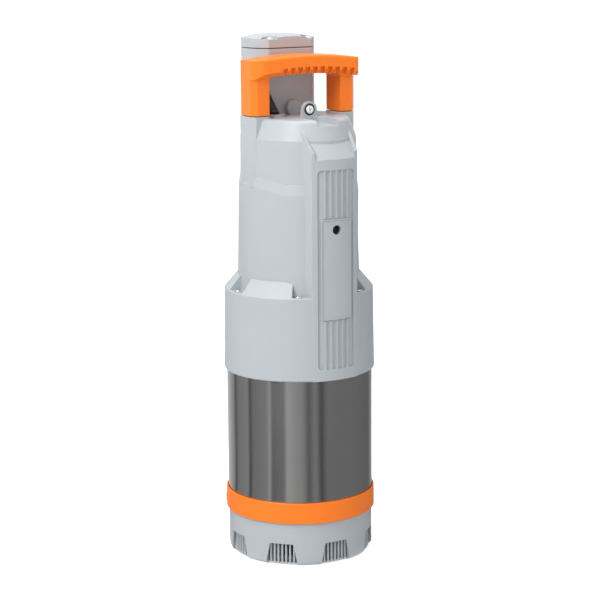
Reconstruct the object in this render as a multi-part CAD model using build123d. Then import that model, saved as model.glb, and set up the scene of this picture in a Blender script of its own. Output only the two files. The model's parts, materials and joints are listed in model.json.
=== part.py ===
from build123d import *
from math import cos, pi, radians, sin, sqrt
import os

# Multistage submersible pump. Millimetres, +Z up, origin at the centre of the base, on the
# surface the pump stands on. X runs along the carrying handle, the ribbed spine faces -Y and
# the discharge tower stands at +Y.

os.makedirs("parts", exist_ok=True)

# Overall rings, from the ground up
BASE_R = 72.15
BASE_TOP_Z = 44.1
BASE_INNER_R = 64.0
FOOT_FILLET = 5.0
RING_R = 74.7
RING_TOP_Z = 64.9
CATCH_ANGLES = (-119, 119)
SHELL_R = 72.6
SHELL_WALL = 0.8
SHELL_BOTTOM_Z = 48.0
SHELL_TOP_Z = 262.0
COLLAR_R_BOTTOM = 75.0
COLLAR_R_TOP = 73.8
COLLAR_INNER_R = 72.75
COLLAR_BOTTOM_Z = 187.2
COLLAR_TOP_Z = 268.6
LEDGE_UNDER_Z = 263.0
LEDGE_R = 61.5
LEDGE_TOP_Z = 283.0

# Intake windows and screen
WINDOW_COUNT = 8
WINDOW_TOP_Z = 22.5
WINDOW_HALF_ANGLE_LOW = 13.3
WINDOW_HALF_ANGLE_HIGH = 9.5
GRILLE_R = 69.3
GRILLE_Z = (1.4, 2.8, 21.4)
GRILLE_SLOTS = 8
GRILLE_PITCH_DEG = 3.3
GRILLE_SLOT_WIDTH = 2.2
GRILLE_INNER_R = BASE_INNER_R - 1.0

# Housing hull below the sash: two circles joined by their tangents
HULL_REAR_R = (60.9, 58.2)
HULL_FRONT_R = (50.6, 51.2)
HULL_FRONT_Y = -16.3
HULL_Z = (LEDGE_UNDER_Z, 377.0)
SASH_FRONT_Z = 377.0
SASH_SIDE_Z = 384.0
SASH_KINK_Y = (-44.0, -13.0)
SASH_DROP = 9.8
SASH_STEP = 1.5

# Dome over the electrics: rear and front radius of its plan at each height
DOME_LOW_R = (56.8, 49.4)
DOME_LOW_Z = 357.0
DOME_BREAK_R = (56.2, 48.8)
DOME_BREAK_Z = 418.9
DOME_TOP_R = (49.5, 42.1)
DOME_FILLET = 5.0
DECK_Z = 438.2
HOUSING_WALL = 3.2
SCOOP_Z = 432.6
SCOOP_PLAN = ((-11, -75), (12, -75), (12, -36), (9, -26), (-6, -26), (-11, -36))
SCOOP_CORNER_R = 3.0

# Handle columns and handle
COLUMN_FOOT_Z = 372.0
COLUMN_TOP_Z = 440.0
COLUMN_X = (39.5, 57.7)
COLUMN_Y = (-15.5, 12.4)
POST_Y = (-15.5, 11.3)
COLUMN_CHAMFER = 5.0
COLUMN_REAR_CHAMFER = 2.7
GRIP_FRONT_Y = -24.0
GRIP_TOP_Z = 497.5
GRIP_TOP_R = 420.0
GRIP_UNDER_Z = 479.5
GRIP_UNDER_R = GRIP_TOP_R - GRIP_TOP_Z + GRIP_UNDER_Z
GRIP_CORNER_R = (13.0, 6.0)
GRIP_EDGE_R = 2.5
GRIP_CHAMFER = (7.0, 4.3)
GRIP_POCKETS = 10
GRIP_POCKET_FIRST_X = -26.2
GRIP_POCKET_PITCH = 8.27
GRIP_POCKET = (5.4, 4.6, 12.0)
GRIP_POCKET_TILT = 31.6
GRIP_ROOT_R = 3.5
POST_GAP = 0.6
POST_EDGE_R = 1.0
POST_SCREW_X = 48.6
POST_SCREW_Y = -2.0
POST_SCREW_R = 2.5
POST_SCREW_HEAD_R = 4.4
POST_SCREW_Z = (424.4, 461.5)
POST_SCREW_SEAT_Z = 428.0

# Spine on the front
SPINE_R = 75.0
SPINE_FRONT_X = 25.1
SPINE_ROOT_X = 28.2
SPINE_ROOT_Y = -48.0
FIN_WALL = 3.4
FIN_BACK = (-50.0, 431.2)
FIN_FRONT = (-70.8, 409.2)
SHELF_BACK = (63.0, 418.9)
SHELF_FRONT = (75.0, 402.3)
PANEL_X = 19.6
PANEL_Z = (198.6, 392.0)
PANEL_FLOOR_R = 73.6
PANEL_CORNER_R = 3.0
RIB_COUNT = 5
RIB_PITCH = 6.2
RIB_WIDTH = 2.4
PLATE_X = 16.5
PLATE_Z = (247.0, 345.2)
PLATE_HOLE_Z = 334.5
PLATE_HOLE_R = 4.5
PLATE_BORDER = 1.4
PLATE_CORNER_R = 1.5

# Discharge tower
TOWER_R = 36.0
TOWER_Y = 39.0
TOWER_FRONT_Y = 12.5
TOWER_CORNER_R = 3.5
TOWER_TOP_Z = 502.4
LID_GAP = 0.9
LID_EDGE_Z = 511.3
LID_TOP_Z = 516.0
LID_CROWN_R = 170.0
LID_SCREW_X = (-21.4, 21.4)
LID_SCREW_Y = (15.9, 58.7)
LID_SCREW = (3.4, 3.6, 20.0, 1.8)
LID_POCKET_R = 8.0
LID_POCKET_Z = 511.4
VALVE_Y = 42.0
CHAMBER_R = 21.4
CHAMBER_FLOOR_Z = 450.0
DUCT_ROOF_Z = 445.0
OUTLET_Z = 475.5
OUTLET_THREAD_R = 15.15
OUTLET_BODY_R = 19.5
OUTLET_Y = (58.0, 74.6)
OUTLET_PAD_Y = 74.4
BOSS_X = 1.5
BOSS_Z = 444.4
BOSS_R = 8.6
BOSS_REACH = 5.0

# Small outside parts
SCREW_RING_R = 68.0
SCREW_ANGLES = (30, 90, 150, 210, 270, 330)
LEDGE_POCKETS = ((26.0, 8.8), (88.5, 10.0), (150.0, 9.0))
COLLAR_EDGE_R = 1.5
LEDGE_POCKET_RIM_R = 72.6
LEDGE_POCKET_Z = 269.0
LEDGE_POCKET_INNER_R = 57.9
LEDGE_POCKET_WALL = 3.0
LEDGE_SCREW = (3.8, 3.1, 17.0, 2.0)
LUG_Y = -22.0
LUG_THICKNESS = 4.0
LUG_HOLE_Z = 445.4
LUG_R = 7.9
LUG_HOLE_R = 5.9
GLAND_X = -26.5
GLAND_Y = 2.5
GLAND_RIM_R = 12.5
GLAND_RIM_Z = 440.6
BOOT_R = (6.4, 4.9)
BOOT_LENGTH = 21.0
BOOT_TIP = 0.4
GLAND_HOLE_R = 5.2
BOOT_LEAN = (-0.22, 0.38, 1.0)
CABLE_R = 4.1

# Shaft line
STAGE_COUNT = 4
STAGE_PITCH = 24.0
STAGE_Z = 62.0
STAGE_R = 71.5
IMPELLER_R = 60.0
VANE_COUNT = 6
EYE_R = 19.0
HUB_R = 11.0
SHAFT_R = 6.0
SEAL_SHAFT_R = 7.5
ROTOR_SHAFT_R = 9.0
ROTOR_R = 25.0
AIR_GAP = 0.5
CAN_R = 50.0
CAN_WALL = 1.0
CAN_Z = (196.0, 345.0)
STATOR_Z = (222.0, 300.0)
SLOT_COUNT = 12
COVER_Z = (352.0, 358.0)
FLANGE_Z = (250.0, 261.8)
FLANGE_SEAL_Z = 254.0
CLEARANCE = 0.05


def ring(r_out, r_in, z0, z1):
    """A plain tube about the Z axis."""
    return extrude(Pos(0, 0, z0) * (Circle(r_out) - Circle(r_in)), z1 - z0)


def disc(r, z0, z1, x=0.0, y=0.0):
    """A plain cylinder standing on z0."""
    return Pos(x, y, (z0 + z1) / 2) * Cylinder(r, z1 - z0)


def block(x, y, z):
    """A box given by its lowest and highest value along each axis."""
    middle = Pos((x[0] + x[1]) / 2, (y[0] + y[1]) / 2, (z[0] + z[1]) / 2)
    return middle * Box(x[1] - x[0], y[1] - y[0], z[1] - z[0])


def turned(points):
    """A solid turned about the Z axis from (radius, height) points."""
    return revolve(Plane.XZ * make_face(Polyline(*points, close=True)), Axis.Z)


def side_prism(points, x0, x1):
    """A prism along X from (Y, Z) points."""
    return extrude(Plane.YZ.offset(x0) * make_face(Polyline(*points, close=True)), x1 - x0)


def at_angle(angle, radius):
    """The point at an angle from the front (-Y) towards +X."""
    return radius * sin(radians(angle)), -radius * cos(radians(angle))


def sector(r_in, r_out, half_angle, middle_angle, z0, z1):
    """A wedge of a ring; angles count from the front (-Y) towards +X."""
    left_tip = at_angle(middle_angle - half_angle, r_out * 1.3)
    right_tip = at_angle(middle_angle + half_angle, r_out * 1.3)
    wedge = make_face(Polyline((0, 0), left_tip, right_tip, close=True))
    return extrude(Pos(0, 0, z0) * (wedge & (Circle(r_out) - Circle(r_in))), z1 - z0)


def base_strainer():
    """Foot ring with arched windows, each closed by a set-back grille of upright bars."""
    body = turned(
        [
            (BASE_INNER_R, 0), (BASE_R, 0), (BASE_R, BASE_TOP_Z), (69.9, BASE_TOP_Z), (69.9, 57.5),
            (BASE_INNER_R, 57.5),
        ]
    )
    circles = body.edges().filter_by(GeomType.CIRCLE)
    outer_low = [e for e in circles if e.radius > BASE_R - 0.01 and e.center().Z < 1]
    body = fillet(outer_low, FOOT_FILLET)
    low = BASE_R * sin(radians(WINDOW_HALF_ANGLE_LOW))
    high = BASE_R * sin(radians(WINDOW_HALF_ANGLE_HIGH))
    arch = make_face(Polyline((-low, -1), (low, -1), (high, WINDOW_TOP_Z), (-high, WINDOW_TOP_Z), close=True))
    arch = fillet(arch.vertices().sort_by(Axis.Y)[-2:], 2.0)
    window = extrude(Plane.XZ.offset(60.0) * arch, 16.0) - disc(GRILLE_R, -2, 40)
    rim_z, slot_low, slot_high = GRILLE_Z
    window += sector(GRILLE_INNER_R, GRILLE_R + 1, WINDOW_HALF_ANGLE_LOW - 0.6, 0, -1, rim_z)
    first = -(GRILLE_SLOTS - 1) / 2
    half = GRILLE_SLOT_WIDTH / 2
    for slot in range(GRILLE_SLOTS):
        cut = block((-half, half), (-GRILLE_R - 1, -GRILLE_INNER_R), (slot_low, slot_high))
        window += Rot(0, 0, GRILLE_PITCH_DEG * (first + slot)) * cut
    for index in range(WINDOW_COUNT):
        body -= Rot(0, 0, 360.0 / WINDOW_COUNT * index) * window
    return body


def intake_floor():
    """Plate that closes the strainer from below, stiffened by ribs."""
    body = disc(BASE_INNER_R - 0.1, 1.6, 4.0) + ring(BASE_INNER_R - 0.1, BASE_INNER_R - 2.0, 3.5, 8.0)
    body += ring(24.0, 22.0, 3.5, 8.0)
    rib = block((23.0, BASE_INNER_R - 1.5), (-1.0, 1.0), (3.5, 7.0))
    for index in range(8):
        body += Rot(0, 0, 45 * index) * rib
    return body


def lower_ring():
    """Coloured clamp ring that holds the base to the shell, with a ribbed catch on each side."""
    body = turned(
        [
            (70.1, BASE_TOP_Z + 0.1), (RING_R, BASE_TOP_Z + 0.1), (RING_R, RING_TOP_Z - 1.2),
            (RING_R - 0.5, RING_TOP_Z), (SHELL_R + 0.5, RING_TOP_Z), (SHELL_R + 0.1, RING_TOP_Z - 1.5),
            (SHELL_R + 0.1, SHELL_BOTTOM_Z - 0.1), (70.1, SHELL_BOTTOM_Z - 0.1),
        ]
    )
    for angle in CATCH_ANGLES:
        x, y = at_angle(angle, RING_R - 0.3)
        for z in (48.4, 53.0):
            body += Pos(x, y, z) * Rot(0, 0, angle) * Box(7.0, 1.8, 2.6)
    return body


def outer_shell():
    """Brushed steel tube around the stages."""
    return ring(SHELL_R, SHELL_R - SHELL_WALL, SHELL_BOTTOM_Z, SHELL_TOP_Z)


def shell_seal(z):
    """Square-section ring pressed inside one end of the shell."""
    return ring(71.75, 69.95, z, z + 2.4)


def suction_cover():
    """Plate with the inlet eye below the first stage."""
    body = turned(
        [
            (EYE_R + 2.4, STAGE_Z - 4), (STAGE_R, STAGE_Z - 4), (STAGE_R, STAGE_Z),
            (EYE_R + 2.4, STAGE_Z),
        ]
    )
    body += turned(
        [
            (EYE_R + 2.4, STAGE_Z - 12), (EYE_R + 5, STAGE_Z - 12), (EYE_R + 8, STAGE_Z - 4),
            (EYE_R + 2.4, STAGE_Z - 4),
        ]
    )
    return body


def curved_vane(r0, r1, sweep, thickness, z0, z1):
    """A vane that curves back from radius r0 to radius r1."""
    start = (r0, 0)
    middle = (0.5 * (r0 + r1) * cos(radians(sweep * 0.38)), 0.5 * (r0 + r1) * sin(radians(sweep * 0.38)))
    end = (r1 * cos(radians(sweep)), r1 * sin(radians(sweep)))
    centre_line = ThreePointArc(start, middle, end)
    return extrude(Pos(0, 0, z0) * trace(centre_line, thickness), z1 - z0)


def diffuser(z):
    """Stage casing: wall, web and the return vanes above it."""
    body = ring(STAGE_R, STAGE_R - 2.6, z, z + STAGE_PITCH)
    body += ring(STAGE_R - 2.6, EYE_R + 2.4, z + 17, z + 19)
    vane = curved_vane(28.0, STAGE_R - 2.8, 38, 2.0, z + 18.5, z + STAGE_PITCH)
    for index in range(VANE_COUNT):
        body += Rot(0, 0, 360 / VANE_COUNT * index) * vane
    return body


def impeller(z):
    """Closed impeller with an eye collar, two shrouds and curved vanes."""
    body = turned(
        [
            (EYE_R, z - 3.5), (EYE_R + 1.9, z - 3.5), (EYE_R + 1.9, z + 3), (IMPELLER_R, z + 4.4),
            (IMPELLER_R, z + 5.8), (EYE_R, z + 5.0),
        ]
    )
    body += turned(
        [
            (SHAFT_R + CLEARANCE, z + 1), (HUB_R, z + 1), (HUB_R, z + 12), (IMPELLER_R, z + 13.4),
            (IMPELLER_R, z + 15), (SHAFT_R + CLEARANCE, z + 15),
        ]
    )
    vane = curved_vane(HUB_R + 6, IMPELLER_R - 0.5, -62, 1.8, z + 4.9, z + 13.6)
    for index in range(VANE_COUNT):
        body += Rot(0, 0, 360 / VANE_COUNT * index) * vane
    return body


def impeller_sleeves():
    """Spacer sleeves between the impellers on the shaft."""
    sleeves = []
    for stage in range(STAGE_COUNT):
        z = STAGE_Z + STAGE_PITCH * stage + 15.05
        top = z + STAGE_PITCH - 14.1 if stage < STAGE_COUNT - 1 else 162.0
        sleeves.append(ring(HUB_R - 1, SHAFT_R + CLEARANCE, z, top))
    return Compound(sleeves)


def impeller_nut():
    """Domed lock nut under the first impeller."""
    top = STAGE_Z + 0.9
    nut = extrude(Pos(0, 0, top - 9) * RegularPolygon(9.5, 6), 9)
    return nut - disc(SHAFT_R - 0.95, top - 10, top + 1)


def discharge_guide():
    """Cover over the last stage with outer ports to the motor jacket."""
    z = STAGE_Z + STAGE_PITCH * STAGE_COUNT
    body = ring(STAGE_R, SHAFT_R + 6, z, z + 5)
    for index in range(6):
        body -= sector(56, 67, 20, 60 * index, z - 1, z + 6)
    return body


def seal_housing():
    """Oil chamber under the motor: bearing seat above, seal seat below."""
    return turned(
        [
            (12.1, 163.1), (CAN_R, 163.1), (CAN_R, 196.0), (17.6, 196.0), (17.6, 184.4), (14.0, 184.4),
            (14.0, 181.5), (40.0, 181.5), (40.0, 169.0), (16.1, 169.0), (16.1, 166.5), (12.1, 166.5),
        ]
    )


def seal_seat():
    """Stationary ceramic ring of the shaft seal."""
    return ring(16.0, 9.2, 169.05, 173.0)


def seal_rotor():
    """Turning carbon ring and its holder on the shaft."""
    body = ring(13.0, SEAL_SHAFT_R + CLEARANCE, 173.0, 176.0)
    return body + ring(11.5, SEAL_SHAFT_R + CLEARANCE, 176.0, 181.0)


def bearing_outer(r_out, r_in, z, height):
    """Outer race of a ball bearing with its two shields."""
    body = ring(r_out, r_out - 3.0, z, z + height)
    for low in (z + 0.6, z + height - 1.1):
        body += ring(r_out - 3.0, r_in + 2.6, low, low + 0.5)
    return body


def bearing_inner(r_in, z, height):
    """Inner race of a ball bearing."""
    return ring(r_in + 2.55, r_in + CLEARANCE, z, z + height)


def shaft():
    """Stepped pump and motor shaft."""
    return turned(
        [
            (0, 52), (SHAFT_R - 1, 52), (SHAFT_R - 1, STAGE_Z + 0.9), (SHAFT_R, STAGE_Z + 0.9),
            (SHAFT_R, 162.1), (SEAL_SHAFT_R, 162.1), (SEAL_SHAFT_R, 195.4), (ROTOR_SHAFT_R, 195.4),
            (ROTOR_SHAFT_R, 332.6), (SHAFT_R, 332.6), (SHAFT_R, 346), (0, 346),
        ]
    )


def rotor_core():
    """Laminated rotor with its end rings."""
    z0, z1 = STATOR_Z
    body = ring(ROTOR_R, ROTOR_SHAFT_R + CLEARANCE, z0, z1)
    body += ring(ROTOR_R - 2.5, ROTOR_SHAFT_R + 6, z0 - 6, z1 + 6)
    return body


def stator_core():
    """Laminated stator with twelve winding slots."""
    body = ring(CAN_R - CAN_WALL - 0.05, ROTOR_R + AIR_GAP, *STATOR_Z)
    slot = block((-3.2, 3.2), (-41.5, -28.0), (STATOR_Z[0] - 1, STATOR_Z[1] + 1))
    for index in range(SLOT_COUNT):
        body -= Rot(0, 0, 360 / SLOT_COUNT * index) * slot
    return body


def stator_winding():
    """Copper in the slots with the end turns above and below."""
    body = ring(42.0, 28.0, STATOR_Z[0] - 17, STATOR_Z[0] - 1)
    body += ring(42.0, 28.0, STATOR_Z[1] + 1, STATOR_Z[1] + 17)
    bar = block((-2.9, 2.9), (-41.0, -28.6), (STATOR_Z[0] - 2, STATOR_Z[1] + 2))
    for index in range(SLOT_COUNT):
        body += Rot(0, 0, 360 / SLOT_COUNT * index) * bar
    return body


def motor_can():
    """Steel can around the motor."""
    return ring(CAN_R, CAN_R - CAN_WALL, CAN_Z[0] + 0.05, CAN_Z[1] - 0.05)


def hull_face(rear_r, front_r, z):
    """Housing outline: a rear and a front circle joined by their tangents."""
    lean = (rear_r - front_r) / -HULL_FRONT_Y
    side = sqrt(1 - lean * lean)
    rear_point = (rear_r * side, -rear_r * lean)
    front_point = (front_r * side, HULL_FRONT_Y - front_r * lean)
    outline = [
        ThreePointArc((-rear_point[0], rear_point[1]), (0, rear_r), rear_point),
        Line(rear_point, front_point),
        ThreePointArc(front_point, (0, HULL_FRONT_Y - front_r), (-front_point[0], front_point[1])),
        Line((-front_point[0], front_point[1]), (-rear_point[0], rear_point[1])),
    ]
    return Pos(0, 0, z) * make_face(outline)


def hull_at(z, inset=0.0):
    """The housing outline at a height, following the moulding draft."""
    share = (z - HULL_Z[0]) / (HULL_Z[1] - HULL_Z[0])
    rear_r = HULL_REAR_R[0] + (HULL_REAR_R[1] - HULL_REAR_R[0]) * share
    front_r = HULL_FRONT_R[0] + (HULL_FRONT_R[1] - HULL_FRONT_R[0]) * share
    return hull_face(rear_r - inset, front_r - inset, z)


def motor_cover():
    """Plate above the motor that carries the top bearing and closes the wet side."""
    body = extrude(hull_at(COVER_Z[0], 3.3), COVER_Z[1] - COVER_Z[0])
    body &= block((-80, 80), (-80, TOWER_FRONT_Y + 0.5), (COVER_Z[0], COVER_Z[1]))
    body += ring(CAN_R - CAN_WALL - 0.1, 22.0, CAN_Z[1] - 8, COVER_Z[0] + 0.5)
    body += ring(22.1, 16.05, 331.0, COVER_Z[0] + 0.5)
    return body


def mounting_flange():
    """Ring that joins the shell to the housing, with ports for the water."""
    body = ring(71.6, CAN_R + 0.1, *FLANGE_Z) - ring(73.0, 69.9, FLANGE_SEAL_Z, FLANGE_SEAL_Z + 2.5)
    for angle in range(0, 360, 60):
        body -= sector(CAN_R + 4, 62.5, 20, angle, FLANGE_Z[0] - 1, FLANGE_Z[1] + 1)
    for angle in SCREW_ANGLES:
        x, y = at_angle(angle, SCREW_RING_R)
        body -= disc(2.0 + CLEARANCE, FLANGE_Z[0] - 1, FLANGE_Z[1] + 1, x, y)
    return body


def lower_hull():
    """Housing below the sash, with the slanting sash step at its top."""
    top = SASH_SIDE_Z + 2
    mass = loft([hull_at(LEDGE_UNDER_Z), hull_at(top)], ruled=True)
    kink_front, kink_side = SASH_KINK_Y
    slabs = (
        [(-90, 200), (kink_front, 200), (kink_front, SASH_FRONT_Z), (-90, SASH_FRONT_Z)],
        [(kink_front, 200), (kink_side, 200), (kink_side, SASH_SIDE_Z), (kink_front, SASH_FRONT_Z)],
        [(kink_side, 200), (90, 200), (90, SASH_SIDE_Z), (kink_side, SASH_SIDE_Z)],
    )
    body = None
    for points in slabs:
        piece = mass & side_prism(points, -90, 90)
        lid_face = piece.faces().sort_by(Axis.Z)[-1]
        rim = [e for e in lid_face.edges() if e.geom_type != GeomType.LINE or abs(e.tangent_at(0.5).X) < 0.9]
        piece = chamfer(rim, SASH_STEP, SASH_DROP, reference=lid_face)
        body = piece if body is None else body + piece
    return body


def column(side, z0, z1, y_range):
    """A handle column or post: a rectangle with chamfered outer corners."""
    x0, x1 = COLUMN_X
    front, rear = y_range
    outline = Polyline(
        (x0, front), (x1 - COLUMN_CHAMFER, front), (x1, front + COLUMN_CHAMFER),
        (x1, rear - COLUMN_REAR_CHAMFER), (x1 - COLUMN_REAR_CHAMFER, rear), (x0, rear),
        close=True,
    )
    body = extrude(Pos(0, 0, z0) * make_face(outline), z1 - z0)
    return body if side > 0 else mirror(body, Plane.YZ)


def dome(inset=0.0):
    """Cap over the electrics: drafted walls, a steeper shoulder and a rounded upper edge."""
    stations = []
    for radii, z in ((DOME_LOW_R, DOME_LOW_Z), (DOME_BREAK_R, DOME_BREAK_Z), (DOME_TOP_R, DECK_Z)):
        lowered = z if z == DOME_LOW_Z else z - inset
        stations.append(hull_face(radii[0] - inset, radii[1] - inset, lowered))
    low, middle, top = stations
    body = loft([low, middle], ruled=True) + loft([middle, top], ruled=True)
    rim = body.faces().sort_by(Axis.Z)[-1].edges()
    return fillet(rim, DOME_FILLET - inset)


def tower_outline(inset=0.0):
    """Tower plan: a circle with a flat front."""
    radius = TOWER_R - inset
    front = TOWER_FRONT_Y + inset
    half = sqrt(radius * radius - (TOWER_Y - front) ** 2)
    outline = [
        Line((-half, front), (half, front)),
        ThreePointArc((half, front), (0, TOWER_Y + radius), (-half, front)),
    ]
    face = make_face(outline)
    return fillet(face.vertices(), max(TOWER_CORNER_R - inset * 0.6, 1.0))


def tower_prism(z0, z1, inset=0.0):
    """The tower plan drawn up from one height to another."""
    return extrude(Pos(0, 0, z0) * tower_outline(inset), z1 - z0)


def spine_plan(inset=0.0):
    """The spine's plan: curved face and drafted flanks."""
    front_x = SPINE_FRONT_X - inset
    root_x = SPINE_ROOT_X - inset
    front_y = -sqrt(SPINE_R * SPINE_R - front_x * front_x)
    outline = [
        ThreePointArc((-front_x, front_y), (0, -SPINE_R), (front_x, front_y)),
        Line((front_x, front_y), (root_x, SPINE_ROOT_Y)),
        Line((root_x, SPINE_ROOT_Y), (-root_x, SPINE_ROOT_Y)),
        Line((-root_x, SPINE_ROOT_Y), (-front_x, front_y)),
    ]
    return Pos(0, 0, COLLAR_BOTTOM_Z) * make_face(outline)


def spine():
    """Front spine with a sloping shelf between two side fins."""
    height = FIN_BACK[1] - COLLAR_BOTTOM_Z
    mass = extrude(spine_plan(), height)
    bottom = COLLAR_BOTTOM_Z - 1
    outer = SPINE_R + 1
    slope_line = [(outer, SHELF_FRONT[1]), SHELF_FRONT, SHELF_BACK]
    shelf = turned([(0, bottom), (outer, bottom), *slope_line, (0, SHELF_BACK[1])])
    slope = [(SPINE_ROOT_Y, FIN_BACK[1]), FIN_BACK, FIN_FRONT, (-90, FIN_FRONT[1] - 20)]
    fins = mass & side_prism([(-90, bottom), (SPINE_ROOT_Y, bottom)] + slope, -40, 40)
    fins -= extrude(spine_plan(FIN_WALL), height)
    return (mass & shelf) + fins - disc(COLLAR_INNER_R, COLLAR_BOTTOM_Z - 1, LEDGE_UNDER_Z)


def panel_band(r_in, r_out, x_half, z_range, corner_r):
    """A curved slab with rounded corners on the spine's face, between two radii."""
    z0, z1 = z_range
    sheet = Plane.XZ.offset(50) * Pos(0, (z0 + z1) / 2) * RectangleRounded(2 * x_half, z1 - z0, corner_r)
    return ring(r_out, r_in, z0 - 1, z1 + 1) & extrude(sheet, 40)


def panel_recess():
    """The shallow recess in the spine that holds the ribs and the plate."""
    return panel_band(PANEL_FLOOR_R, SPINE_R + 2, PANEL_X, PANEL_Z, PANEL_CORNER_R)


def panel_ribs():
    """Upright ribs on the floor of the recess, above and below the plate."""
    first = -(RIB_COUNT - 1) / 2
    body = None
    for index in range(RIB_COUNT):
        x = RIB_PITCH * (first + index)
        for z0, z1 in ((PANEL_Z[0] - 0.5, PLATE_Z[0] - 0.6), (PLATE_Z[1] + 0.6, PANEL_Z[1] + 0.5)):
            rib = ring(SPINE_R - 0.15, PANEL_FLOOR_R - 0.2, z0, z1)
            rib &= block((x - RIB_WIDTH / 2, x + RIB_WIDTH / 2), (-90, -50), (z0, z1))
            body = rib if body is None else body + rib
    return body


def lug():
    """Round-topped lug on the deck with a hole for its screw."""
    back = LUG_Y + LUG_THICKNESS / 2
    low_half = LUG_R + 1.2
    high_half = LUG_R - 0.05
    foot_z = DECK_Z - 2
    shoulder_z = LUG_HOLE_Z + 1
    foot = make_face(
        Polyline(
            (-low_half, foot_z), (low_half, foot_z), (high_half, shoulder_z), (-high_half, shoulder_z),
            close=True,
        )
    )
    body = extrude(Plane.XZ.offset(-back) * (Pos(0, LUG_HOLE_Z) * Circle(LUG_R)), LUG_THICKNESS)
    body += extrude(Plane.XZ.offset(-back) * foot, LUG_THICKNESS)
    hole = Plane.XZ.offset(-back - 1) * (Pos(0, LUG_HOLE_Z) * Circle(LUG_HOLE_R))
    return body - extrude(hole, LUG_THICKNESS + 2)


def ledge_pockets(body, margin, r_in, r_out, z0):
    """A body less six wedges at the ledge's screws, each widened by a margin in degrees."""
    for middle, half in LEDGE_POCKETS:
        for side in (-1, 1):
            body -= sector(r_in, r_out, half + margin, side * middle, z0, LEDGE_TOP_Z + 7)
    return body


def collar():
    """Skirt over the shell, its roof and the sloping ledge with six screw pockets."""
    profile = make_face(
        Polyline(
            (COLLAR_INNER_R, COLLAR_BOTTOM_Z + 0.8), (COLLAR_INNER_R + 0.6, COLLAR_BOTTOM_Z),
            (COLLAR_R_BOTTOM, COLLAR_BOTTOM_Z), (COLLAR_R_TOP, COLLAR_TOP_Z), (LEDGE_R, LEDGE_TOP_Z),
            (LEDGE_R - 4, LEDGE_TOP_Z), (LEDGE_R - 4, LEDGE_UNDER_Z), (COLLAR_INNER_R, LEDGE_UNDER_Z),
            close=True,
        )
    )
    outer_corners = profile.vertices().sort_by(Axis.X)[-2:]
    profile = fillet(outer_corners, COLLAR_EDGE_R)
    body = revolve(Plane.XZ * profile, Axis.Z)
    return ledge_pockets(body, 0, LEDGE_POCKET_INNER_R, LEDGE_POCKET_RIM_R, LEDGE_POCKET_Z)


def housing_cavity():
    """Everything hollow inside the housing."""
    body = loft([hull_at(LEDGE_UNDER_Z - 1, 3.0), hull_at(COVER_Z[1], 3.0)], ruled=True)
    wall = LEDGE_POCKET_WALL
    beyond = LEDGE_POCKET_RIM_R + wall + 4
    body = ledge_pockets(body, 3, LEDGE_POCKET_INNER_R - wall, beyond, LEDGE_POCKET_Z - wall)
    body += tower_prism(LEDGE_TOP_Z, DUCT_ROOF_Z, HOUSING_WALL)
    body += disc(14.9, DUCT_ROOF_Z - 1, CHAMBER_FLOOR_Z + 1, 0, VALVE_Y)
    body += disc(CHAMBER_R, CHAMBER_FLOOR_Z, TOWER_TOP_Z + 1, 0, VALVE_Y)
    dry = dome(HOUSING_WALL) & block((-80, 80), (-80, TOWER_FRONT_Y - 2.5), (COVER_Z[1] - 1, DECK_Z))
    dry -= block((-17, 17), (-70, -18), (SCOOP_Z - 3, DECK_Z))
    return body + dry


def upper_housing():
    """The grey moulding: collar, hull, sash, dome, columns, spine and tower."""
    body = collar() + lower_hull()
    for side in (-1, 1):
        body += column(side, COLUMN_FOOT_Z, COLUMN_TOP_Z, COLUMN_Y)
    body += dome()
    body += tower_prism(COLLAR_TOP_Z - 6, TOWER_TOP_Z)
    body += spine()
    body -= housing_cavity()
    body -= panel_recess()
    body += panel_ribs()
    body -= scoop()
    body += lug() + tower_boss()
    body += disc(GLAND_RIM_R, DECK_Z - 1, GLAND_RIM_Z, GLAND_X, GLAND_Y)
    body -= disc(GLAND_HOLE_R, DECK_Z - 8, GLAND_RIM_Z + 1, GLAND_X, GLAND_Y)
    for x in (-POST_SCREW_X, POST_SCREW_X):
        body -= disc(POST_SCREW_HEAD_R + 1.2, COVER_Z[1] - 1, POST_SCREW_SEAT_Z, x, POST_SCREW_Y)
        body -= disc(POST_SCREW_R + 0.1, POST_SCREW_SEAT_Z - 8, COLUMN_TOP_Z + 1, x, POST_SCREW_Y)
    for angle in SCREW_ANGLES:
        x, y = at_angle(angle, SCREW_RING_R)
        body -= disc(LEDGE_SCREW[3] + 0.2, LEDGE_UNDER_Z - 1, LEDGE_POCKET_Z + 1, x, y)
        if y > TOWER_Y:
            body -= disc(LEDGE_SCREW[0] + 0.6, LEDGE_POCKET_Z, LEDGE_TOP_Z + 8, x, y)
    for x in LID_SCREW_X:
        for y in LID_SCREW_Y:
            body -= disc(LID_SCREW[3] + CLEARANCE, TOWER_TOP_Z - 16, TOWER_TOP_Z + 1, x, y)
    body += outlet_boss()
    outlet_hole = Plane.XZ.offset(-OUTLET_Y[0] + 6) * (Pos(0, OUTLET_Z) * Circle(OUTLET_BODY_R + CLEARANCE))
    body -= extrude(outlet_hole, -30)
    sight = Plane.XZ.offset(60) * (Pos(0, PLATE_HOLE_Z) * Circle(PLATE_HOLE_R + 1.0))
    return body - extrude(sight, 20)


def outlet_boss():
    """Flat round pad on the tower's rear, outside the valve chamber."""
    pad = Plane.XZ.offset(-OUTLET_Y[0]) * (Pos(0, OUTLET_Z) * Circle(OUTLET_BODY_R + 3.5))
    return extrude(pad, -(OUTLET_PAD_Y - OUTLET_Y[0])) - disc(CHAMBER_R, 440, 510, 0, VALVE_Y)


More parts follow.
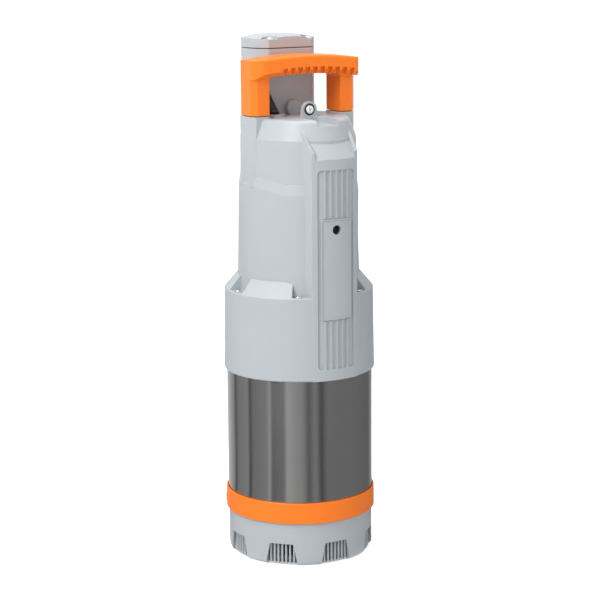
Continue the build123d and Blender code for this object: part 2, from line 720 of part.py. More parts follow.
def tower_boss():
    """Half-round boss low on the tower's front."""
    ridge = Plane.XZ.offset(-TOWER_FRONT_Y - 1) * (Pos(BOSS_X, BOSS_Z) * Circle(BOSS_R))
    boss = extrude(ridge, BOSS_REACH + 1)
    front = boss.edges().filter_by(GeomType.CIRCLE).sort_by(Axis.Y)[0]
    return fillet(front, 2.0) & block((-40, 40), (0, 30), (DECK_Z - 1, 500))


def scoop():
    """Hollow in the dome's shoulder in front of the lug."""
    outline = make_face(Polyline(*SCOOP_PLAN, close=True))
    outline = fillet(outline.vertices().sort_by(Axis.Y)[2:], SCOOP_CORNER_R)
    return extrude(Pos(0, 0, SCOOP_Z) * outline, 20)


def pan_screw(x, y, seat, sizes):
    """A pan-head screw pointing down, its head standing on the seat."""
    head_r, head_height, length, shank_r = sizes
    low = seat + CLEARANCE
    head = disc(head_r, low, low + head_height, x, y)
    head = fillet(head.edges().sort_by(Axis.Z)[-1], head_height * 0.62)
    return head + disc(shank_r, low - length, low + 0.1, x, y)


def housing_screws():
    """Six screws in the ledge pockets."""
    screws = []
    for angle in SCREW_ANGLES:
        x, y = at_angle(angle, SCREW_RING_R)
        screws.append(pan_screw(x, y, LEDGE_POCKET_Z, LEDGE_SCREW))
    return Compound(screws)


def lid_screws():
    """Four screws in the lid's corner pockets."""
    screws = []
    for x in LID_SCREW_X:
        for y in LID_SCREW_Y:
            screws.append(pan_screw(x, y, LID_POCKET_Z, LID_SCREW))
    return Compound(screws)


def tower_lid():
    """Lid with a softly domed top and four open corner pockets."""
    low = TOWER_TOP_Z + LID_GAP
    body = tower_prism(low, LID_EDGE_Z)
    crown = Pos(0, TOWER_Y, LID_TOP_Z - LID_CROWN_R) * Sphere(LID_CROWN_R)
    body += tower_prism(LID_EDGE_Z - 0.5, LID_TOP_Z + 1) & crown
    for x in LID_SCREW_X:
        for y in LID_SCREW_Y:
            body -= disc(LID_POCKET_R, LID_POCKET_Z, LID_TOP_Z + 2, x, y)
            body -= disc(2.0, low - 1, LID_TOP_Z, x, y)
    body += disc(CHAMBER_R - 0.3, TOWER_TOP_Z - 4, low + 0.5, 0, VALVE_Y)
    body -= disc(8.5, TOWER_TOP_Z - 6, TOWER_TOP_Z - 1, 0, VALVE_Y)
    return body


def lid_gasket():
    """Flat rubber seal between tower and lid."""
    outline = tower_outline(1.3) - Pos(0, VALVE_Y) * Circle(CHAMBER_R)
    body = extrude(Pos(0, 0, TOWER_TOP_Z) * outline, LID_GAP)
    for x in LID_SCREW_X:
        for y in LID_SCREW_Y:
            body -= disc(1.8 + CLEARANCE, TOWER_TOP_Z - 1, TOWER_TOP_Z + LID_GAP + 1, x, y)
    return body


def front_plate():
    """Plate in the spine's recess with a raised border and one round hole."""
    body = panel_band(PANEL_FLOOR_R + 0.02, SPINE_R + 0.1, PLATE_X, PLATE_Z, PLATE_CORNER_R)
    inner_z = (PLATE_Z[0] + PLATE_BORDER, PLATE_Z[1] - PLATE_BORDER)
    body -= panel_band(SPINE_R - 0.45, SPINE_R + 1, PLATE_X - PLATE_BORDER, inner_z, PLATE_CORNER_R / 2)
    hole = Plane.XZ.offset(60) * (Pos(0, PLATE_HOLE_Z) * Circle(PLATE_HOLE_R))
    return body - extrude(hole, 20)


def sight_plug():
    """Dark plug set back in the plate's hole."""
    body = Plane.XZ.offset(62) * (Pos(0, PLATE_HOLE_Z) * Circle(PLATE_HOLE_R + 1.0 - CLEARANCE))
    return extrude(body, 7.5)


def handle_grip():
    """Arched grip with a chamfered lower front edge, rounded at its ends."""
    axis = Axis((0, 0, GRIP_TOP_Z - GRIP_TOP_R), (0, 1, 0))
    under = GRIP_UNDER_Z
    section = make_face(
        Polyline(
            (GRIP_FRONT_Y, GRIP_TOP_Z), (POST_Y[1], GRIP_TOP_Z), (POST_Y[1], under),
            (GRIP_FRONT_Y + GRIP_CHAMFER[0], under), (GRIP_FRONT_Y, under + GRIP_CHAMFER[1]), close=True,
        )
    )
    section = fillet(section.vertices().sort_by(Axis.Y)[-2:], GRIP_EDGE_R)
    arch = revolve(Plane.YZ * section, axis, revolution_arc=24).rotate(axis, -12)
    half = COLUMN_X[1]
    front, rear = GRIP_FRONT_Y, POST_Y[1]
    plan = make_face(Polyline((-half, front), (half, front), (half, rear), (-half, rear), close=True))
    left_r, right_r = GRIP_CORNER_R
    plan = fillet(plan.vertices().group_by(Axis.Y)[0].sort_by(Axis.X)[0], left_r)
    plan = fillet(plan.vertices().group_by(Axis.Y)[0].sort_by(Axis.X)[-1], right_r)
    plan = chamfer(plan.vertices().group_by(Axis.Y)[-1], COLUMN_REAR_CHAMFER)
    return arch & extrude(Pos(0, 0, 460) * plan, 50)


def handle():
    """Carrying handle: two posts and the grip with a row of finger pockets."""
    body = handle_grip()
    for side in (-1, 1):
        post = column(side, COLUMN_TOP_Z + POST_GAP, GRIP_UNDER_Z + 2, POST_Y)
        body += fillet(post.faces().sort_by(Axis.Z)[0].edges(), POST_EDGE_R)
    roots = [e for e in body.edges().filter_by(Axis.Y) if abs(abs(e.center().X) - COLUMN_X[0]) < 0.1]
    body = fillet(roots, GRIP_ROOT_R)
    for index in range(GRIP_POCKETS):
        x = GRIP_POCKET_FIRST_X + GRIP_POCKET_PITCH * index
        drop = x * x / (2 * GRIP_UNDER_R)
        tool = Rot(GRIP_POCKET_TILT, 0, 0) * Box(*GRIP_POCKET)
        body -= Pos(x, GRIP_FRONT_Y + 3.9, GRIP_UNDER_Z + 2.0 - drop) * tool
    for side in (-1, 1):
        hole_top = POST_SCREW_Z[1] + 0.5
        body -= disc(POST_SCREW_R + CLEARANCE, COLUMN_TOP_Z - 1, hole_top, side * POST_SCREW_X, POST_SCREW_Y)
    return body


def handle_screws():
    """Two screws driven up through the columns into the posts."""
    low, top = POST_SCREW_Z
    seat = POST_SCREW_SEAT_Z - CLEARANCE
    screws = []
    for side in (-1, 1):
        x = side * POST_SCREW_X
        head = disc(POST_SCREW_HEAD_R, low, seat, x, POST_SCREW_Y)
        screws.append(head + disc(POST_SCREW_R, seat - 0.05, top, x, POST_SCREW_Y))
    return Compound(screws)


def lug_part(r_out, r_in, y0, y1):
    """A disc or ring on the lug hole's axis."""
    face = Circle(r_out) - Circle(r_in) if r_in > 0 else Circle(r_out)
    return extrude(Plane.XZ.offset(-y1) * (Pos(0, LUG_HOLE_Z) * face), y1 - y0)


def lug_screw():
    """Pan-head screw through the lug."""
    front = LUG_Y - LUG_THICKNESS / 2
    return lug_part(4.1, 0, front - 2.2, front + 0.6) + lug_part(2.0, 0, front, front + 13)


def lug_bush():
    """Dark bush that fills the lug's hole around the screw."""
    front = LUG_Y - LUG_THICKNESS / 2
    return lug_part(LUG_HOLE_R - CLEARANCE, 2.0 + CLEARANCE, front + 0.65, front + LUG_THICKNESS - 0.1)


def lug_nut():
    """Hex nut behind the lug."""
    back = LUG_Y + LUG_THICKNESS / 2
    nut = extrude(Plane.XZ.offset(-back - 3.4) * (Pos(0, LUG_HOLE_Z) * RegularPolygon(7.2, 6)), 3.4)
    return nut - lug_part(2.0 + CLEARANCE, 0, back - 1, back + 5)


def gland_nut():
    """Hex nut that clamps the boot from inside the dome."""
    z = DECK_Z - HOUSING_WALL - 4.1
    nut = extrude(Pos(GLAND_X, GLAND_Y, z) * RegularPolygon(8.4, 6), 4.0)
    return nut - disc(CABLE_R + 0.1, z - 1, z + 6, GLAND_X, GLAND_Y)


def gland_seal():
    """Rubber ring around the cable in the deck's hole."""
    outer = disc(GLAND_HOLE_R - CLEARANCE, DECK_Z - HOUSING_WALL - 0.05, GLAND_RIM_Z - 2.0, GLAND_X, GLAND_Y)
    return outer - disc(CABLE_R + 0.4, DECK_Z - 6, GLAND_RIM_Z + 1, GLAND_X, GLAND_Y)


def strain_relief():
    """Tapered rubber boot over the cable inlet, leaning back past the grip."""
    below = 4.0
    body = turned(
        [
            (CABLE_R, -below), (BOOT_R[0], -below), (BOOT_R[0], 0.6), (BOOT_R[1], BOOT_LENGTH - BOOT_TIP),
            (BOOT_R[1] - BOOT_TIP, BOOT_LENGTH), (CABLE_R, BOOT_LENGTH),
        ]
    )
    leaning = Plane(origin=(GLAND_X, GLAND_Y, GLAND_RIM_Z), z_dir=BOOT_LEAN) * body
    return leaning & block((-80, 20), (-40, 40), (GLAND_RIM_Z + 0.05, 500))


def outlet_insert():
    """Threaded insert in the tower's rear face."""
    face = Pos(0, OUTLET_Z) * (Circle(OUTLET_BODY_R) - Circle(OUTLET_THREAD_R))
    return extrude(Plane.XZ.offset(-OUTLET_Y[1]) * face, OUTLET_Y[1] - OUTLET_Y[0])


def valve_seat():
    """Flanged ring that the check valve closes on."""
    z = CHAMBER_FLOOR_Z
    body = ring(14.85, 11.0, z - 4.5, z + 2.5) + ring(CHAMBER_R - 0.2, 11.0, z + 0.05, z + 2.5)
    return Pos(0, VALVE_Y, 0) * body


def valve_poppet():
    """Check valve disc with its guide wings and spring post."""
    z = CHAMBER_FLOOR_Z + 2.5
    body = disc(14.0, z + 1.55, z + 4.5) + disc(3.2, z + 4.0, z + 12.0)
    body += disc(3.0, z - 14.0, z + 2.0)
    for angle in (0, 60, 120):
        body += Rot(0, 0, angle) * block((-10.9, 10.9), (-0.7, 0.7), (z - 12.0, z + 1.7))
    return Pos(0, VALVE_Y, 0) * body


def valve_gasket():
    """Rubber ring under the check valve disc."""
    z = CHAMBER_FLOOR_Z + 2.5
    return Pos(0, VALVE_Y, 0) * ring(14.0, 11.2, z + 0.05, z + 1.5)


def valve_spring():
    """Light coil spring between the check valve and the lid."""
    z = CHAMBER_FLOOR_Z + 7.9
    top = TOWER_TOP_Z - 1.9
    helix = Helix(pitch=6.0, height=top - z, radius=5.4)
    start = Plane(origin=helix @ 0, z_dir=helix % 0)
    body = sweep(start * RegularPolygon(0.75, 6), path=helix, is_frenet=True)
    return Pos(0, VALVE_Y, z) * body


def capacitor():
    """Motor run capacitor in the dome."""
    body = disc(16.5, COVER_Z[1] + 0.2, 424, -17, -32)
    body += disc(1.5, 423.5, 429, -21, -32) + disc(1.5, 423.5, 429, -13, -32)
    return body


def control_board():
    """Upright board with its relay and blocks."""
    z0 = COVER_Z[1] + 0.2
    body = block((12.0, 13.6), (-48, 2), (z0, 420))
    body += block((13.5, 28.0), (-40, -24), (368, 392)) + block((13.5, 22.0), (-18, -4), (372, 384))
    body += block((13.5, 24.0), (-38, -8), (400, 410))
    return body


def save(shape, node):
    """Write one node."""
    export_step(shape, f"parts/{node}.step")


def build():
    """Write every node."""
    save(base_strainer(), "base_strainer")
    save(intake_floor(), "intake_floor")
    save(lower_ring(), "lower_ring")
    save(outer_shell(), "outer_shell")
    save(shell_seal(54.5), "lower_shell_seal")
    save(shell_seal(FLANGE_SEAL_Z + 0.05), "upper_shell_seal")
    save(suction_cover(), "suction_cover")
    for stage in range(STAGE_COUNT):
        z = STAGE_Z + STAGE_PITCH * stage
        save(diffuser(z), f"diffuser_{stage + 1}")
        save(impeller(z), f"impeller_{stage + 1}")
    save(impeller_sleeves(), "impeller_sleeves")
    save(impeller_nut(), "impeller_nut")
    save(discharge_guide(), "discharge_guide")
    save(seal_housing(), "seal_housing")
    save(seal_seat(), "seal_seat")
    save(seal_rotor(), "seal_rotor")
    save(bearing_outer(17.5, SEAL_SHAFT_R, 184.5, 11), "lower_bearing_outer")
    save(bearing_inner(SEAL_SHAFT_R, 184.5, 10.8), "lower_bearing_inner")
    save(bearing_outer(16.0, SHAFT_R, 333.0, 10), "upper_bearing_outer")
    save(bearing_inner(SHAFT_R, 333.0, 10), "upper_bearing_inner")
    save(shaft(), "shaft")
    save(rotor_core(), "rotor_core")
    save(stator_core(), "stator_core")
    save(stator_winding(), "stator_winding")
    save(motor_can(), "motor_can")
    save(motor_cover(), "motor_cover")
    save(mounting_flange(), "mounting_flange")
    save(upper_housing(), "upper_housing")
    save(housing_screws(), "housing_screws")
    save(front_plate(), "front_plate")
    save(sight_plug(), "sight_plug")
    save(handle(), "handle")
    save(handle_screws(), "handle_screws")
    save(tower_lid(), "tower_lid")
    save(lid_gasket(), "lid_gasket")
    save(lid_screws(), "lid_screws")
    save(outlet_insert(), "outlet_insert")
    save(valve_seat(), "valve_seat")
    save(valve_poppet(), "valve_poppet")
    save(valve_gasket(), "valve_gasket")
    save(valve_spring(), "valve_spring")
    save(lug_screw(), "lug_screw")
    save(lug_bush(), "lug_bush")
    save(lug_nut(), "lug_nut")
    save(gland_nut(), "gland_nut")
    save(gland_seal(), "gland_seal")
    save(strain_relief(), "strain_relief")
    save(capacitor(), "capacitor")
    save(control_board(), "control_board")


build()
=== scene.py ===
import json
import math

import bpy
from bpy.props import FloatProperty, FloatVectorProperty, IntProperty, PointerProperty
from mathutils import Matrix, Vector


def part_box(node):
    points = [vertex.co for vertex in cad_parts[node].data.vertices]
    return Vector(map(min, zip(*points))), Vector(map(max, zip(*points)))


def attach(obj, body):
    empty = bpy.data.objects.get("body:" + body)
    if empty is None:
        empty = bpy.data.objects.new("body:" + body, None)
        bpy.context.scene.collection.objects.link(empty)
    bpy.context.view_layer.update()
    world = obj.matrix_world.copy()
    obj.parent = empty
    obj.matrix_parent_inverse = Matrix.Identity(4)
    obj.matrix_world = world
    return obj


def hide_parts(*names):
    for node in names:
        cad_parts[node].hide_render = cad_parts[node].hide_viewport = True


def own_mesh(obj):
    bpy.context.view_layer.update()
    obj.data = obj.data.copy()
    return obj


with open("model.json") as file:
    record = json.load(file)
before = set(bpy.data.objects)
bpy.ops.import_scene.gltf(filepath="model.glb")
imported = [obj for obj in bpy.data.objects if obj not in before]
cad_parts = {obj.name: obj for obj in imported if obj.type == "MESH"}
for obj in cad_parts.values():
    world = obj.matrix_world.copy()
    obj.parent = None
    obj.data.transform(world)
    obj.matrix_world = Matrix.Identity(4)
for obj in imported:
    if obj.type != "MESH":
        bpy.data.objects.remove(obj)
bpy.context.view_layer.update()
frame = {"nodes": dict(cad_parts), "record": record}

bl_info = {
    "name": "Submersible pump",
    "version": (1, 0, 0),
    "blender": (4, 5, 0),
    "location": "View3D > Sidebar > Pump",
    "description": "Dresses the submersible pump: finishes, screws, boot, spring, column and studio",
    "category": "Object",
}

BODY = "pump_body"

# Lengths below are in metres in the CAD frame, turns in radians unless they say degrees.

# Screws: shares are of the head's radius, or of its height for the rounding and the recess's depth
HEAD_SIDES = 48
HEAD_RIM_SHARE = 0.18
HEAD_ROUND_SHARE = 0.6
HEAD_ROUND_SEGMENTS = 6
CROSS_LENGTH_SHARE = 1.05
CROSS_WIDTH_SHARE = 0.24
CROSS_DEPTH_SHARE = 1.1
CROSS_TURN_DEGREES = 20
SHANK_SIDES = 24
SHANK_RADIUS = 0.002
LID_SHANK_RADIUS = 0.0018
LEDGE_SCREW_COUNT = 6
LEDGE_SCREW_TURN = 0.7
LID_FIRST_TURN = 0.5
LID_ROW_TURN = 1.7

# Cable boot: heights are along its lean, from its origin
BOOT_SIDES = 64
BOOT_ORIGIN = (-0.0265, 0.0025, 0.4406)
BOOT_LEAN = (-0.22, 0.38, 1.0)
BOOT_START = -0.004
BOOT_PLAIN_FOOT = 0.003
BOOT_PLAIN_TIP = 0.002
BOOT_TIP_CHAMFER = 0.0004
BOOT_RIBS = 6
BOOT_RIB_DEPTH = 0.00035
BOOT_RIB_STEPS = ((0.15, 0), (0.3, BOOT_RIB_DEPTH), (0.85, BOOT_RIB_DEPTH), (1.0, 0))

# Valve spring
SPRING_WIRE_SIDES = 12
SPRING_TURN_STEPS = 32

# Left column: width across the chamfer of each outer edge, and how near a corner counts as found
COLUMN_FRONT_CHAMFER = 0.005
COLUMN_REAR_CHAMFER = 0.0027
SAME_PLACE = 1e-5

# Studio: lamps are name, place, size, power in watts and colour
CAMERA_SENSOR_MM = 36.0
CAMERA_LENS_MM = 113.53
LAMP_TARGET = (0, 0, 0.28)
LAMPS = (
    ("lamp_key_left", (-1.75, -0.75, 1.75), (1.0, 1.2), 35, (1, 1, 1)),
    ("lamp_front_fill", (0.35, -2.1, 1.3), (1.6, 1.4), 3, (0.94, 0.97, 1.0)),
    ("lamp_top", (-0.2, 0.1, 2.3), (1.4, 1.4), 25, (1, 1, 1)),
)
WORLD_LIGHT = 0.52
FLOOR_SIZE = 90.0
FLOOR_DROP = 0.0002
FLOOR_GLOW = 0.66
CARD_RING_RADIUS = 0.08
CARD_RING_GROWTH = 3.75
CARD_HEIGHT = 0.34

# Cards round the barrel: degrees from the view's front, and brightness there
CARD_LEVELS = (
    (-180, 0.85), (-140, 0.60), (-116, 0.34), (-111, 0.06), (-106, 0.26), (-80, 0.34),
    (-77, 0.03), (-72, 0.24), (-46, 0.30), (-43, 0.52), (-40, 0.13), (-22, 0.17),
    (-18, 0.46), (4, 0.34), (12, 0.14), (22, 0.30), (30, 0.08), (38, 0.22),
    (90, 0.21), (128, 0.16), (146, 0.40), (180, 0.85),
)


class PumpSizes(bpy.types.PropertyGroup):
    """Sizes of the pieces made here, in metres in the CAD frame"""

    screw_head_radius: FloatProperty(
        name="Ledge screw head", description="Radius of a ledge screw's head", default=0.0038, unit="LENGTH"
    )
    screw_head_height: FloatProperty(
        name="Ledge screw height", description="Height of a ledge screw's head", default=0.0031, unit="LENGTH"
    )
    lid_head_radius: FloatProperty(
        name="Lid screw head", description="Radius of a lid screw's head", default=0.0034, unit="LENGTH"
    )
    lid_head_height: FloatProperty(
        name="Lid screw height", description="Height of a lid screw's head", default=0.0036, unit="LENGTH"
    )
    lug_head_radius: FloatProperty(
        name="Lug screw head", description="Radius of the lug screw's head", default=0.0041, unit="LENGTH"
    )
    lug_head_height: FloatProperty(
        name="Lug screw height", description="Height of the lug screw's head", default=0.0028, unit="LENGTH"
    )
    boot_foot_radius: FloatProperty(
        name="Boot foot", description="Radius of the cable boot at its foot", default=0.0064, unit="LENGTH"
    )
    boot_tip_radius: FloatProperty(
        name="Boot tip", description="Radius of the cable boot at its tip", default=0.0049, unit="LENGTH"
    )
    boot_length: FloatProperty(
        name="Boot length", description="Length of the boot along its lean", default=0.021, unit="LENGTH"
    )
    boot_bore: FloatProperty(
        name="Boot bore", description="Radius of the boot's opening", default=0.0041, unit="LENGTH"
    )
    spring_radius: FloatProperty(
        name="Spring coil", description="Radius of the coil at the wire's middle", default=0.0054,
        unit="LENGTH",
    )
    spring_wire: FloatProperty(
        name="Spring wire", description="Radius of the valve spring's wire", default=0.00065, unit="LENGTH"
    )
    spring_turns: IntProperty(name="Spring turns", description="Turns of the valve spring", default=7)
    column_inner: FloatProperty(
        name="Column inner side", description="Column's inner side from the middle", default=0.0395,
        unit="LENGTH",
    )
    column_outer: FloatProperty(
        name="Column outer side", description="Column's outer side from the middle", default=0.0577,
        unit="LENGTH",
    )
    column_front: FloatProperty(
        name="Column front", description="Place of the column's front side", default=-0.0155, unit="LENGTH"
    )
    column_rear: FloatProperty(
        name="Column rear", description="Place of the column's rear side", default=0.0124, unit="LENGTH"
    )
    column_foot: FloatProperty(
        name="Column foot", description="Height at which the column starts inside the hull", default=0.372,
        unit="LENGTH",
    )
    column_top: FloatProperty(
        name="Column top", description="Height of the column's top under the handle", default=0.440,
        unit="LENGTH",
    )
    camera_distance: FloatProperty(
        name="Camera distance", description="From the pump's axis to the camera, level", default=1.85,
        unit="LENGTH",
    )
    camera_height: FloatProperty(
        name="Camera height", description="Height of the camera over the floor", default=0.6248, unit="LENGTH"
    )
    camera_azimuth: FloatProperty(
        name="Camera azimuth", description="Turn of the view from the front", default=math.radians(-29.6),
        subtype="ANGLE",
    )
    camera_pitch: FloatProperty(
        name="Camera pitch", description="How far the view looks down", default=math.radians(11.347),
        subtype="ANGLE",
    )
    camera_roll: FloatProperty(
        name="Camera roll", description="Lean of the picture", default=math.radians(0.426), subtype="ANGLE"
    )
    camera_side: FloatProperty(
        name="Camera side step", description="Sideways offset of the camera", default=0.001084, unit="LENGTH"
    )


class PumpFinish(bpy.types.PropertyGroup):
    """Colours of the pump's finishes"""

    housing_grey: FloatVectorProperty(
        name="Housing grey", description="Moulded housing", subtype="COLOR", default=(0.440, 0.478, 0.505)
    )
    accent_orange: FloatVectorProperty(
        name="Accent orange", description="Handle and clamp ring", subtype="COLOR",
        default=(1.0, 0.205, 0.006),
    )
    barrel_steel: FloatVectorProperty(
        name="Barrel steel", description="Brushed barrel", subtype="COLOR", default=(0.56, 0.56, 0.555)
    )
    screw_steel: FloatVectorProperty(
        name="Screw steel", description="Bright screws", subtype="COLOR", default=(0.78, 0.77, 0.75)
    )
    rubber_black: FloatVectorProperty(
        name="Rubber black", description="Boot and seals", subtype="COLOR", default=(0.006, 0.006, 0.007)
    )
    stage_grey: FloatVectorProperty(
        name="Stage plastic", description="Impellers and diffusers", subtype="COLOR",
        default=(0.045, 0.048, 0.052),
    )
    copper: FloatVectorProperty(
        name="Copper", description="Winding", subtype="COLOR", default=(0.60, 0.22, 0.08)
    )
    brass: FloatVectorProperty(
        name="Brass", description="Outlet insert", subtype="COLOR", default=(0.62, 0.42, 0.15)
    )
    aluminium: FloatVectorProperty(
        name="Cast aluminium", description="Seal housing and motor cover", subtype="COLOR",
        default=(0.55, 0.56, 0.57),
    )
    board_green: FloatVectorProperty(
        name="Board green", description="Control board", subtype="COLOR", default=(0.02, 0.11, 0.04)
    )
    core_steel: FloatVectorProperty(
        name="Core steel", description="Rotor and stator packs", subtype="COLOR", default=(0.20, 0.21, 0.22)
    )
    ceramic: FloatVectorProperty(
        name="Ceramic", description="Faces of the shaft seal", subtype="COLOR", default=(0.74, 0.71, 0.62)
    )


def sizes():
    """The sizes held by the scene."""
    return bpy.context.scene.pump_sizes


def finish():
    """The colours held by the scene."""
    return bpy.context.scene.pump_finish


class Nodes:
    """A short way to write a material's nodes."""

    def __init__(self, tree):
        self.tree = tree
        tree.nodes.clear()

    def add(self, kind, **values):
        """A new node, with values for its settings or its inputs."""
        node = self.tree.nodes.new("ShaderNode" + kind)
        for name, value in values.items():
            if hasattr(node, name):
                setattr(node, name, value)
            else:
                node.inputs[name.replace("_", " ")].default_value = value
        return node

    def link(self, out, into):
        self.tree.links.new(out, into)

    def ramp(self, factor, stops):
        """A grey ramp through (place, level) stops."""
        node = self.add("ValToRGB")
        elements = node.color_ramp.elements
        while len(elements) < len(stops):
            elements.new(0.5)
        for element, (place, level) in zip(elements, stops):
            element.position = place
            element.color = (level, level, level, 1)
        self.link(factor, node.inputs["Fac"])
        return node.outputs["Color"]

    def noise(self, scale, detail=4.0, roughness=0.5, stretch=None):
        coordinates = self.add("TexCoord")
        out = coordinates.outputs["Object"]
        if stretch:
            mapping = self.add("Mapping")
            mapping.inputs["Scale"].default_value = stretch
            self.link(out, mapping.inputs["Vector"])
            out = mapping.outputs["Vector"]
        noise = self.add("TexNoise", Scale=scale, Detail=detail, Roughness=roughness)
        self.link(out, noise.inputs["Vector"])
        return noise.outputs["Fac"]

    def bands(self, scale, distortion, detail):
        """Soft bands stacked along Z."""
        coordinates = self.add("TexCoord")
        wave = self.add("TexWave", Scale=scale, Distortion=distortion, Detail=detail)
        wave.bands_direction = "Z"
        self.link(coordinates.outputs["Object"], wave.inputs["Vector"])
        return wave.outputs["Fac"]

    def level(self, factor, low, high):
        """A factor from 0 to 1 mapped to low to high."""
        node = self.add("MapRange")
        node.inputs["To Min"].default_value = low
        node.inputs["To Max"].default_value = high
        self.link(factor, node.inputs["Value"])
        return node.outputs["Result"]

    def tint(self, factor, dark, light):
        """Two colours mixed by a factor."""
        node = self.add("Mix", data_type="RGBA")
        for socket, value in ((6, dark), (7, light)):
            node.inputs[socket].default_value = (*value, 1)
        self.link(factor, node.inputs[0])
        return node.outputs[2]

    def bump(self, height, strength, distance, below=None):
        node = self.add("Bump", Strength=strength, Distance=distance)
        self.link(height, node.inputs["Height"])
        if below is not None:
            self.link(below, node.inputs["Normal"])
        return node.outputs["Normal"]


def shade(colour, amount):
    """A colour made darker or lighter, kept between 0 and 1."""
    return tuple(min(1.0, max(0.0, c * amount)) for c in colour)


def bare_material(name):
    """A new material, its node writer and its output."""
    made = bpy.data.materials.new(name)
    made.use_nodes = True
    nodes = Nodes(made.node_tree)
    return made, nodes, nodes.add("OutputMaterial")


def material(name):
    """A new material, its node writer and its Principled shader."""
    made, nodes, out = bare_material(name)
    shader = nodes.add("BsdfPrincipled")
    nodes.link(shader.outputs["BSDF"], out.inputs["Surface"])
    return made, nodes, shader


def moulded_plastic(name, colour, roughness, grain=0.035, variation=0.035, soft_edge=0.0005):
    """Injection-moulded plastic: spark-eroded grain, faint flow tone and softened edges."""
    made, nodes, shader = material(name)
    broad = nodes.noise(9.0, 3.0, 0.55)
    tone = nodes.tint(broad, shade(colour, 1 - variation), shade(colour, 1 + variation))
    nodes.link(tone, shader.inputs["Base Color"])
    fine = nodes.noise(1900.0, 2.0, 0.6)
    wear = nodes.noise(60.0, 3.0)
    nodes.link(nodes.level(wear, roughness - 0.05, roughness + 0.05), shader.inputs["Roughness"])
    edge = nodes.add("Bevel", samples=6)
    edge.inputs["Radius"].default_value = soft_edge
    nodes.link(nodes.bump(fine, grain, 0.0004, edge.outputs["Normal"]), shader.inputs["Normal"])
    shader.inputs["Specular IOR Level"].default_value = 0.42
    return made


def brushed_metal(name, colour, roughness, stretch, scale, depth=0.06):
    """Metal with fine lines, drawn out across the axis that stretch makes fine."""
    made, nodes, shader = material(name)
    lines = nodes.noise(scale, 5.0, 0.65, stretch)
    broad = nodes.noise(14.0, 2.0)
    nodes.link(nodes.tint(lines, shade(colour, 0.90), shade(colour, 1.08)), shader.inputs["Base Color"])
    nodes.link(nodes.level(broad, roughness - 0.05, roughness + 0.05), shader.inputs["Roughness"])
    edge = nodes.add("Bevel", samples=4)
    edge.inputs["Radius"].default_value = 0.0002
    nodes.link(nodes.bump(lines, depth, 0.0002, edge.outputs["Normal"]), shader.inputs["Normal"])
    shader.inputs["Metallic"].default_value = 1.0
    return made


def brushed_barrel(name, colour):
    """Rolled steel brushed round the barrel: sharp side to side, drawn out up and down, with painted
    reflection bands up the barrel in its colour.
    """
    made, nodes, shader = material(name)
    lines = nodes.noise(24.0, 6.0, 0.7, (1, 1, 110))
    # Streaks up and down the barrel: partly tone of the brushing, partly painted reflection bands that stand
    # for dark and light surroundings.
    streaks = nodes.noise(30.0, 3.0, 0.6, (1, 1, 0.02))
    broad = nodes.noise(12.0, 2.0)
    # Base colour darker and lighter along these streaks: brushing tone mixed with painted reflection bands.
    brushed_tone_and_painted_bands = nodes.tint(streaks, shade(colour, 0.86), shade(colour, 1.10))
    fine = nodes.tint(lines, shade(colour, 0.84), shade(colour, 1.14))
    both = nodes.add("Mix", data_type="RGBA")
    both.inputs[0].default_value = 0.55
    nodes.link(brushed_tone_and_painted_bands, both.inputs[6])
    nodes.link(fine, both.inputs[7])
    nodes.link(both.outputs[2], shader.inputs["Base Color"])
    nodes.link(nodes.level(broad, 0.16, 0.21), shader.inputs["Roughness"])
    nodes.link(nodes.bump(lines, 0.10, 0.0002), shader.inputs["Normal"])
    around = nodes.add("Tangent", direction_type="RADIAL", axis="Z")
    nodes.link(around.outputs["Tangent"], shader.inputs["Tangent"])
    shader.inputs["Anisotropic"].default_value = 0.95
    shader.inputs["Anisotropic Rotation"].default_value = 0.25
    shader.inputs["Metallic"].default_value = 1.0
    return made


def rubber(name, colour, roughness):
    """Black rubber with a fine pebble."""
    made, nodes, shader = material(name)
    broad = nodes.noise(120.0, 3.0)
    nodes.link(nodes.tint(broad, shade(colour, 0.7), shade(colour, 1.5)), shader.inputs["Base Color"])
    nodes.link(nodes.level(broad, roughness - 0.08, roughness + 0.08), shader.inputs["Roughness"])
    nodes.link(nodes.bump(nodes.noise(2600.0, 2.0), 0.12, 0.0003), shader.inputs["Normal"])
    return made


def banded_metal(name, colour, bands, tones, wear_scale, roughness, relief, metallic):
    """Metal in bands along Z, such as wire laid side by side or a pack of sheets."""
    made, nodes, shader = material(name)
    layers = nodes.bands(*bands)
    dark, light = tones
    nodes.link(nodes.tint(layers, shade(colour, dark), shade(colour, light)), shader.inputs["Base Color"])
    nodes.link(nodes.level(nodes.noise(wear_scale), *roughness), shader.inputs["Roughness"])
    nodes.link(nodes.bump(layers, *relief), shader.inputs["Normal"])
    shader.inputs["Metallic"].default_value = metallic
    return made


